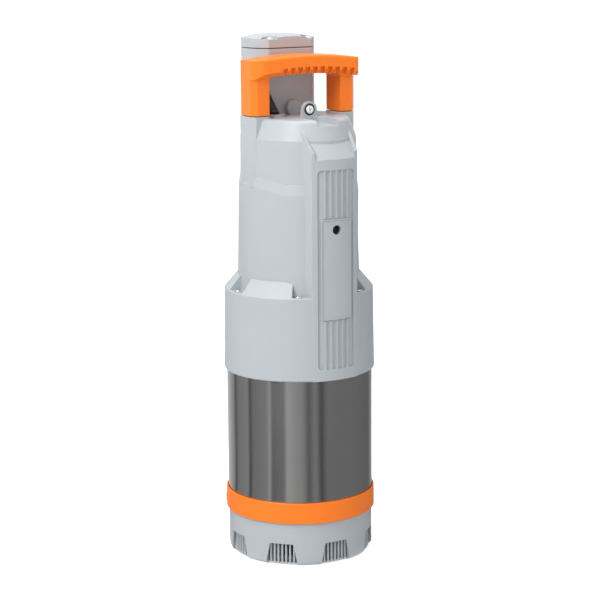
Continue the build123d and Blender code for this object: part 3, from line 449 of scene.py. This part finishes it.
FINISH_BY_SLOT = {
    "housing_grey": lambda c: moulded_plastic("moulded_grey", c.housing_grey, 0.42, soft_edge=0.0011),
    "accent_orange": lambda c: moulded_plastic(
        "moulded_orange", c.accent_orange, 0.38, variation=0.02, soft_edge=0.0011
    ),
    "shell_steel": lambda c: brushed_barrel("brushed_barrel", c.barrel_steel),
    "screw_steel": lambda c: brushed_metal("bright_screw", c.screw_steel, 0.16, (1, 1, 1), 900.0, 0.03),
    "black_rubber": lambda c: rubber("black_rubber", c.rubber_black, 0.36),
    "stage_plastic": lambda c: moulded_plastic("stage_plastic", c.stage_grey, 0.5),
    "inner_steel": lambda c: brushed_metal("ground_steel", c.screw_steel, 0.22, (1, 1, 60), 30.0),
    "core_steel": lambda c: banded_metal(
        "core_sheets", c.core_steel, bands=(640.0, 0.4, 1.0), tones=(0.55, 1.15), wear_scale=50.0,
        roughness=(0.40, 0.55), relief=(0.4, 0.0004), metallic=0.9,
    ),
    "winding_copper": lambda c: banded_metal(
        "wound_copper", c.copper, bands=(420.0, 1.5, 2.0), tones=(0.45, 1.2), wear_scale=80.0,
        roughness=(0.25, 0.40), relief=(0.5, 0.0006), metallic=0.85,
    ),
    "cast_aluminium": lambda c: brushed_metal("cast_aluminium", c.aluminium, 0.42, (1, 1, 1), 260.0, 0.25),
    "seal_ceramic": lambda c: moulded_plastic("lapped_ceramic", c.ceramic, 0.16, grain=0.01),
    "thread_brass": lambda c: brushed_metal("turned_brass", c.brass, 0.25, (1, 60, 1), 30.0),
    "capacitor_can": lambda c: brushed_metal("drawn_can", c.aluminium, 0.28, (1, 1, 30), 40.0),
    "board_green": lambda c: moulded_plastic("board_green", c.board_green, 0.25, grain=0.02),
}


def slot_of(node):
    """The record's material slot of a CAD node."""
    for part in frame["record"]["subparts"]:
        if part["node"] == node:
            return part["material_slot"]
    raise RuntimeError(f"no slot for {node}")


def finish_for(slot):
    """The finish of a record slot, made once."""
    key = "finish_" + slot
    if key not in bpy.context.scene:
        bpy.context.scene[key] = FINISH_BY_SLOT[slot](finish()).name
    return bpy.data.materials[bpy.context.scene[key]]


def set_finish(piece, slot):
    """Gives a mesh the one finish of a slot."""
    piece.data.materials.clear()
    piece.data.materials.append(finish_for(slot))


def deselect():
    """Object mode with nothing selected."""
    if bpy.context.object and bpy.context.object.mode != "OBJECT":
        bpy.ops.object.mode_set(mode="OBJECT")
    bpy.ops.object.select_all(action="DESELECT")


def activate(piece):
    """Makes a piece the active one and the only one selected."""
    deselect()
    piece.select_set(True)
    bpy.context.view_layer.objects.active = piece


def edit_chosen(kind, elements, keep):
    """Edit mode of the active mesh, with only the elements of a kind selected that keep accepts."""
    bpy.ops.object.mode_set(mode="EDIT")
    bpy.ops.mesh.select_mode(type=kind)
    bpy.ops.mesh.select_all(action="DESELECT")
    bpy.ops.object.mode_set(mode="OBJECT")
    for element in elements:
        element.select = keep(element)
    bpy.ops.object.mode_set(mode="EDIT")


def edit_open_edges():
    """Selects the open edges of the mesh in edit mode."""
    bpy.ops.mesh.select_mode(type="EDGE")
    bpy.ops.mesh.select_all(action="DESELECT")
    bpy.ops.mesh.select_non_manifold()


def turn_outwards():
    """Turns all normals of the mesh in edit mode outwards and leaves edit mode."""
    bpy.ops.mesh.select_all(action="SELECT")
    bpy.ops.mesh.normals_make_consistent(inside=False)
    bpy.ops.object.mode_set(mode="OBJECT")


def smooth(degrees):
    """Smooth shading between faces that meet at less than an angle."""
    bpy.ops.object.shade_smooth_by_angle(angle=math.radians(degrees))


def settle(piece, name, slot, replaced=()):
    """Names a finished piece, puts its place into its mesh and lets it ride on the pump's body."""
    activate(piece)
    bpy.ops.object.transform_apply(location=True, rotation=True, scale=True)
    piece.name = name
    piece.data.name = name
    set_finish(piece, slot)
    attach(piece, BODY)
    if replaced:
        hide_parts(*replaced)


def cross_head(radius, height):
    """A pan head standing on the origin with a cross recess."""
    deselect()
    bpy.ops.mesh.primitive_cylinder_add(
        vertices=HEAD_SIDES, radius=radius, depth=height, location=(0, 0, height / 2)
    )
    head = bpy.context.object
    edit_chosen("FACE", head.data.polygons, lambda face: face.normal.z > 0.9)
    bpy.ops.mesh.inset(thickness=radius * HEAD_RIM_SHARE, depth=0)
    bpy.ops.object.mode_set(mode="OBJECT")
    bevel = head.modifiers.new("round", "BEVEL")
    bevel.width = height * HEAD_ROUND_SHARE
    bevel.segments = HEAD_ROUND_SEGMENTS
    bevel.limit_method = "ANGLE"
    bevel.angle_limit = math.radians(60)
    bpy.ops.object.modifier_apply(modifier=bevel.name)
    for turn in (0, 90):
        deselect()
        bpy.ops.mesh.primitive_cube_add(size=1, location=(0, 0, height))
        blade = bpy.context.object
        blade.scale = (radius * CROSS_LENGTH_SHARE, radius * CROSS_WIDTH_SHARE, height * CROSS_DEPTH_SHARE)
        blade.rotation_euler.z = math.radians(turn + CROSS_TURN_DEGREES)
        bpy.ops.object.transform_apply(location=True, rotation=True, scale=True)
        cut = head.modifiers.new("recess", "BOOLEAN")
        cut.object = blade
        cut.operation = "DIFFERENCE"
        activate(head)
        bpy.ops.object.modifier_apply(modifier=cut.name)
        bpy.data.objects.remove(blade)
    smooth(35)
    return head


def shank(radius, length):
    """A plain shank below the origin, closed at both ends."""
    deselect()
    bpy.ops.mesh.primitive_cylinder_add(
        vertices=SHANK_SIDES, radius=radius, depth=length, location=(0, 0, -length / 2)
    )
    smooth(35)
    return bpy.context.object


def screw(head_radius, head_height, shank_radius, shank_length):
    """A screw with its head's seat on the origin, modelled once and copied or placed."""
    return joined([cross_head(head_radius, head_height), shank(shank_radius, shank_length)])


def turned(profile, sides):
    """A closed ring turned about Z from a profile of (radius, height) corners."""
    deselect()
    radius, height = profile[0]
    bpy.ops.mesh.primitive_circle_add(vertices=sides, radius=radius, fill_type="NOTHING", location=(0, 0, 0))
    ring = bpy.context.object
    bpy.ops.object.mode_set(mode="EDIT")
    bpy.ops.mesh.select_all(action="SELECT")
    bpy.ops.transform.translate(value=(0, 0, height))
    for next_radius, next_height in (*profile[1:], profile[0]):
        bpy.ops.mesh.extrude_edges_move(TRANSFORM_OT_translate={"value": (0, 0, next_height - height)})
        share = next_radius / radius
        bpy.ops.transform.resize(value=(share, share, 1), center_override=(0, 0, 0))
        radius, height = next_radius, next_height
    bpy.ops.mesh.select_all(action="SELECT")
    bpy.ops.mesh.remove_doubles(threshold=0.000002)
    turn_outwards()
    smooth(35)
    return ring


def joined(parts):
    """Several meshes made one."""
    deselect()
    for part in parts:
        part.select_set(True)
    bpy.context.view_layer.objects.active = parts[0]
    bpy.ops.object.join()
    return parts[0]


def copies(pattern, places):
    """Copies of a pattern, each with its own mesh, joined in one group."""
    made = []
    for place in places:
        copy = pattern.copy()
        copy.data = pattern.data.copy()
        bpy.context.scene.collection.objects.link(copy)
        copy.matrix_world = place
        made.append(copy)
    bpy.data.objects.remove(pattern)
    deselect()
    for copy in made:
        copy.select_set(True)
        bpy.context.view_layer.objects.active = copy
    bpy.ops.object.transform_apply(location=True, rotation=True, scale=True)
    return joined(made)


class PUMP_OT_studio(bpy.types.Operator):
    """Floor, soft lamps, surroundings and the camera"""

    bl_idname = "pump.studio"
    bl_label = "Studio"

    def execute(self, context):
        self.camera(context)
        self.floor()
        for values in LAMPS:
            self.lamp(*values)
        self.reflector_ring()
        self.surroundings(context)
        context.scene.view_settings.view_transform = "Standard"
        return {"FINISHED"}

    def camera(self, context):
        s = sizes()
        data = bpy.data.cameras.new("view_camera")
        data.sensor_width = CAMERA_SENSOR_MM
        data.lens = CAMERA_LENS_MM
        camera = bpy.data.objects.new("view_camera", data)
        context.scene.collection.objects.link(camera)
        turn = Matrix.Rotation(s.camera_azimuth, 4, "Z")
        tilt = Matrix.Rotation(math.radians(90) - s.camera_pitch, 4, "X")
        lean = Matrix.Rotation(-s.camera_roll, 4, "Z")
        place = turn @ Vector((s.camera_side, -s.camera_distance, 0))
        place.z += s.camera_height
        camera.matrix_world = Matrix.Translation(place) @ turn @ tilt @ lean
        context.scene.camera = camera

    def seen_by_eye_or_mirror(self, nodes):
        """1 on a ray of the camera, a reflection or a transmission, and 0 on one that carries light."""
        path = nodes.add("LightPath")
        mirror = nodes.add("Math", operation="MAXIMUM")
        nodes.link(path.outputs["Is Glossy Ray"], mirror.inputs[0])
        nodes.link(path.outputs["Is Transmission Ray"], mirror.inputs[1])
        seen = nodes.add("Math", operation="MAXIMUM")
        nodes.link(path.outputs["Is Camera Ray"], seen.inputs[0])
        nodes.link(mirror.outputs[0], seen.inputs[1])
        return seen.outputs[0]

    def floor(self):
        """White floor that glows for the eye and keeps the pump's shadow."""
        deselect()
        bpy.ops.mesh.primitive_grid_add(
            x_subdivisions=8, y_subdivisions=8, size=FLOOR_SIZE, location=(0, 0, -FLOOR_DROP)
        )
        floor = bpy.context.object
        floor.name = "studio_floor"
        bpy.ops.object.transform_apply(location=True, rotation=True, scale=True)
        made, nodes, out = bare_material("studio_floor")
        matt = nodes.add("BsdfDiffuse", Color=(0.80, 0.80, 0.80, 1))
        glow = nodes.add("Emission", Color=(1, 1, 1, 1))
        seen = self.seen_by_eye_or_mirror(nodes)
        nodes.link(nodes.level(seen, 0.0, FLOOR_GLOW), glow.inputs["Strength"])
        both = nodes.add("AddShader")
        nodes.link(matt.outputs[0], both.inputs[0])
        nodes.link(glow.outputs[0], both.inputs[1])
        nodes.link(both.outputs[0], out.inputs["Surface"])
        floor.data.materials.append(made)

    def reflector_ring(self):
        """Open ring of dark and light cards around the barrel, which only its reflections show."""
        deselect()
        bpy.ops.mesh.primitive_circle_add(
            vertices=96, radius=CARD_RING_RADIUS, fill_type="NOTHING", location=(0, 0, 0.001)
        )
        ring = bpy.context.object
        bpy.ops.object.mode_set(mode="EDIT")
        bpy.ops.mesh.select_all(action="SELECT")
        bpy.ops.mesh.extrude_edges_move()
        bpy.ops.transform.resize(value=(CARD_RING_GROWTH, CARD_RING_GROWTH, 1), center_override=(0, 0, 0))
        bpy.ops.mesh.extrude_edges_move(TRANSFORM_OT_translate={"value": (0, 0, CARD_HEIGHT)})
        bpy.ops.object.mode_set(mode="OBJECT")
        ring.name = "studio_cards"
        bpy.ops.object.transform_apply(location=True, rotation=True, scale=True)
        made, nodes, out = bare_material("studio_cards")
        glow = nodes.add("Emission", Strength=1.0)
        nodes.link(self.card_levels(nodes), glow.inputs["Color"])
        nodes.link(glow.outputs[0], out.inputs["Surface"])
        ring.data.materials.append(made)
        for kind in ("camera", "diffuse", "transmission", "volume_scatter", "shadow"):
            setattr(ring, "visible_" + kind, False)

    def card_levels(self, nodes):
        """Brightness of the cards round the ring, from the back by the left to the front and on."""
        coordinates = nodes.add("TexCoord")
        turn = nodes.add("Mapping", vector_type="POINT")
        turn.inputs["Rotation"].default_value = (0, 0, -sizes().camera_azimuth)
        nodes.link(coordinates.outputs["Object"], turn.inputs["Vector"])
        parts = nodes.add("SeparateXYZ")
        nodes.link(turn.outputs["Vector"], parts.inputs["Vector"])
        back = nodes.add("Math", operation="MULTIPLY")
        back.inputs[1].default_value = -1
        nodes.link(parts.outputs["Y"], back.inputs[0])
        angle = nodes.add("Math", operation="ARCTAN2")
        nodes.link(parts.outputs["X"], angle.inputs[0])
        nodes.link(back.outputs[0], angle.inputs[1])
        share = nodes.add("MapRange")
        share.inputs["From Min"].default_value = -math.pi
        share.inputs["From Max"].default_value = math.pi
        nodes.link(angle.outputs[0], share.inputs["Value"])
        stops = [((degrees + 180) / 360, level) for degrees, level in CARD_LEVELS]
        return nodes.ramp(share.outputs["Result"], stops)

    def lamp(self, name, place, size, power, colour):
        """A rectangular lamp that faces the pump."""
        data = bpy.data.lights.new(name, "AREA")
        data.shape = "RECTANGLE"
        data.size, data.size_y = size
        data.energy = power
        data.color = colour
        lamp = bpy.data.objects.new(name, data)
        bpy.context.scene.collection.objects.link(lamp)
        lamp.location = place
        lamp.rotation_euler = (Vector(LAMP_TARGET) - Vector(place)).to_track_quat("-Z", "Y").to_euler()

    def surroundings(self, context):
        """White for the eye and for reflections, softer as a light."""
        world = bpy.data.worlds.new("studio_world")
        context.scene.world = world
        world.use_nodes = True
        nodes = Nodes(world.node_tree)
        out = nodes.add("OutputWorld")
        soft = nodes.add("Background", Color=(1, 1, 1, 1), Strength=WORLD_LIGHT)
        white = nodes.add("Background", Color=(1, 1, 1, 1), Strength=1.0)
        seen = nodes.add("MixShader")
        nodes.link(self.seen_by_eye_or_mirror(nodes), seen.inputs[0])
        nodes.link(soft.outputs[0], seen.inputs[1])
        nodes.link(white.outputs[0], seen.inputs[2])
        nodes.link(seen.outputs[0], out.inputs["Surface"])


class PUMP_OT_frame_finishes(bpy.types.Operator):
    """Gives every CAD node the finish of its slot"""

    bl_idname = "pump.frame_finishes"
    bl_label = "Frame finishes"

    def execute(self, context):
        for name, node in frame["nodes"].items():
            set_finish(node, slot_of(name))
        return {"FINISHED"}


class PUMP_OT_ledge_screws(bpy.types.Operator):
    """Six cross-recessed pan screws in the ledge's pockets"""

    bl_idname = "pump.ledge_screws"
    bl_label = "Ledge screws"

    def execute(self, context):
        s = sizes()
        low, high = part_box("housing_screws")
        seat = high.z - s.screw_head_height
        pattern = screw(s.screw_head_radius, s.screw_head_height, SHANK_RADIUS, seat - low.z)
        radius = high.x - s.screw_head_radius
        places = []
        for index in range(LEDGE_SCREW_COUNT):
            angle = math.radians(360 / LEDGE_SCREW_COUNT * (index + 0.5))
            spot = Vector((radius * math.sin(angle), -radius * math.cos(angle), seat))
            places.append(Matrix.Translation(spot) @ Matrix.Rotation(LEDGE_SCREW_TURN * index, 4, "Z"))
        settle(copies(pattern, places), "ledge_screws", "screw_steel", ("housing_screws",))
        return {"FINISHED"}


class PUMP_OT_lid_screws(bpy.types.Operator):
    """Four cross-recessed pan screws in the lid's corner pockets"""

    bl_idname = "pump.lid_screws"
    bl_label = "Lid screws"

    def execute(self, context):
        s = sizes()
        low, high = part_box("lid_screws")
        seat = high.z - s.lid_head_height
        inset = s.lid_head_radius
        pattern = screw(s.lid_head_radius, s.lid_head_height, LID_SHANK_RADIUS, seat - low.z)
        places = []
        for index, x in enumerate((low.x + inset, high.x - inset)):
            for row, y in enumerate((low.y + inset, high.y - inset)):
                turn = Matrix.Rotation(LID_FIRST_TURN + index + LID_ROW_TURN * row, 4, "Z")
                places.append(Matrix.Translation((x, y, seat)) @ turn)
        settle(copies(pattern, places), "lid_screw_set", "screw_steel", ("lid_screws",))
        return {"FINISHED"}


class PUMP_OT_lug_screw(bpy.types.Operator):
    """Cross-recessed screw in the deck's lug, facing the front"""

    bl_idname = "pump.lug_screw"
    bl_label = "Lug screw"

    def execute(self, context):
        s = sizes()
        low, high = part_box("lug_screw")
        seat = low.y + s.lug_head_height
        piece = screw(s.lug_head_radius, s.lug_head_height, SHANK_RADIUS, high.y - seat)
        spot = Vector(((low.x + high.x) / 2, seat, (low.z + high.z) / 2))
        piece.matrix_world = Matrix.Translation(spot) @ Matrix.Rotation(math.radians(90), 4, "X")
        settle(piece, "lug_bright_screw", "screw_steel", ("lug_screw",))
        return {"FINISHED"}


class PUMP_OT_cable_boot(bpy.types.Operator):
    """Ribbed rubber boot of the cable inlet, leaning back and to the left"""

    bl_idname = "pump.cable_boot"
    bl_label = "Cable boot"

    def execute(self, context):
        boot = turned(self.profile(), BOOT_SIDES)
        lean = Vector(BOOT_LEAN).normalized().to_track_quat("Z", "X").to_matrix().to_4x4()
        boot.matrix_world = Matrix.Translation(BOOT_ORIGIN) @ lean
        activate(boot)
        bpy.ops.object.transform_apply(location=True, rotation=True, scale=True)
        low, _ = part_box("strain_relief")
        bpy.ops.object.mode_set(mode="EDIT")
        bpy.ops.mesh.select_mode(type="EDGE")
        bpy.ops.mesh.select_all(action="SELECT")
        bpy.ops.mesh.bisect(plane_co=(0, 0, low.z), plane_no=(0, 0, 1), clear_inner=True)
        edit_open_edges()
        bpy.ops.mesh.bridge_edge_loops()
        turn_outwards()
        settle(boot, "cable_boot", "black_rubber", ("strain_relief",))
        return {"FINISHED"}

    def profile(self):
        """Corners round the boot's wall: foot, ribs, tip and bore."""
        s = sizes()
        corners = [
            (s.boot_bore, BOOT_START),
            (s.boot_foot_radius, BOOT_START),
            (s.boot_foot_radius, BOOT_PLAIN_FOOT),
        ]
        pitch = (s.boot_length - BOOT_PLAIN_FOOT - BOOT_PLAIN_TIP) / BOOT_RIBS
        for index in range(BOOT_RIBS):
            for share, sink in BOOT_RIB_STEPS:
                height = BOOT_PLAIN_FOOT + (index + share) * pitch
                taper = (s.boot_tip_radius - s.boot_foot_radius) * height / s.boot_length
                corners.append((s.boot_foot_radius + taper - sink, height))
        return corners + [
            (s.boot_tip_radius, s.boot_length - BOOT_TIP_CHAMFER),
            (s.boot_tip_radius - BOOT_TIP_CHAMFER, s.boot_length),
            (s.boot_bore, s.boot_length),
        ]


class PUMP_OT_valve_spring(bpy.types.Operator):
    """Coil spring over the check valve, made at one length; in the pump it shortens as the valve lifts"""

    bl_idname = "pump.valve_spring"
    bl_label = "Valve spring"

    def execute(self, context):
        s = sizes()
        low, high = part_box("valve_spring")
        middle_y = (low.y + high.y) / 2
        rise = high.z - low.z - 2 * s.spring_wire
        deselect()
        bpy.ops.mesh.primitive_circle_add(
            vertices=SPRING_WIRE_SIDES, radius=s.spring_wire, fill_type="NOTHING",
            location=(s.spring_radius, 0, 0), rotation=(math.radians(90), 0, 0),
        )
        coil = bpy.context.object
        bpy.ops.object.transform_apply(location=True, rotation=True, scale=True)
        winding = coil.modifiers.new("winding", "SCREW")
        winding.axis = "Z"
        winding.angle = math.radians(360)
        winding.screw_offset = rise / s.spring_turns
        winding.iterations = s.spring_turns
        winding.steps = SPRING_TURN_STEPS
        winding.render_steps = SPRING_TURN_STEPS
        bpy.ops.object.modifier_apply(modifier=winding.name)
        bpy.ops.object.mode_set(mode="EDIT")
        edit_open_edges()
        bpy.ops.mesh.edge_face_add()
        turn_outwards()
        smooth(50)
        coil.location = ((low.x + high.x) / 2, middle_y, low.z + s.spring_wire)
        settle(coil, "valve_coil", "inner_steel", ("valve_spring",))
        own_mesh(coil)
        return {"FINISHED"}


class PUMP_OT_left_column(bpy.types.Operator):
    """Left column of the moulded housing, which the CAD solid lacks above the hull"""

    bl_idname = "pump.left_column"
    bl_label = "Left column"

    def execute(self, context):
        s = sizes()
        low = Vector((-s.column_outer, s.column_front, s.column_foot))
        high = Vector((-s.column_inner, s.column_rear, s.column_top))
        deselect()
        bpy.ops.mesh.primitive_cube_add(size=1, location=(low + high) / 2)
        column = bpy.context.object
        column.scale = high - low
        bpy.ops.object.transform_apply(location=True, rotation=True, scale=True)
        for outer_y, width in ((low.y, COLUMN_FRONT_CHAMFER), (high.y, COLUMN_REAR_CHAMFER)):
            self.edit_outer_edge(column, low.x, outer_y)
            bpy.ops.mesh.bevel(offset=width, offset_type="WIDTH", segments=1)
            bpy.ops.object.mode_set(mode="OBJECT")
        smooth(30)
        settle(column, "column_left", "housing_grey")
        return {"FINISHED"}

    def edit_outer_edge(self, column, x, y):
        """Edit mode with only the upright edge at x and y selected."""
        points = column.data.vertices

        def upright(edge):
            ends = [points[index].co for index in edge.vertices]
            return all(abs(p.x - x) < SAME_PLACE and abs(p.y - y) < SAME_PLACE for p in ends)

        edit_chosen("EDGE", column.data.edges, upright)


class PUMP_PT_panel(bpy.types.Panel):
    """Lists the pump's steps in the sidebar"""

    bl_idname = "PUMP_PT_panel"
    bl_label = "Submersible pump"
    bl_space_type = "VIEW_3D"
    bl_region_type = "UI"
    bl_category = "Pump"

    def draw(self, context):
        column = self.layout.column()
        for operator in OPERATORS:
            column.operator(operator.bl_idname)


OPERATORS = (
    PUMP_OT_studio,
    PUMP_OT_frame_finishes,
    PUMP_OT_ledge_screws,
    PUMP_OT_lid_screws,
    PUMP_OT_lug_screw,
    PUMP_OT_cable_boot,
    PUMP_OT_valve_spring,
    PUMP_OT_left_column,
)
CLASSES = (PumpSizes, PumpFinish, *OPERATORS, PUMP_PT_panel)


def register():
    for item in CLASSES:
        bpy.utils.register_class(item)
    bpy.types.Scene.pump_sizes = PointerProperty(type=PumpSizes)
    bpy.types.Scene.pump_finish = PointerProperty(type=PumpFinish)


def unregister():
    del bpy.types.Scene.pump_finish
    del bpy.types.Scene.pump_sizes
    for item in reversed(CLASSES):
        bpy.utils.unregister_class(item)


def main():
    register()
    bpy.ops.pump.studio()
    bpy.ops.pump.frame_finishes()
    bpy.ops.pump.ledge_screws()
    bpy.ops.pump.lid_screws()
    bpy.ops.pump.lug_screw()
    bpy.ops.pump.cable_boot()
    bpy.ops.pump.valve_spring()
    bpy.ops.pump.left_column()


if __name__ == "__main__":
    main()
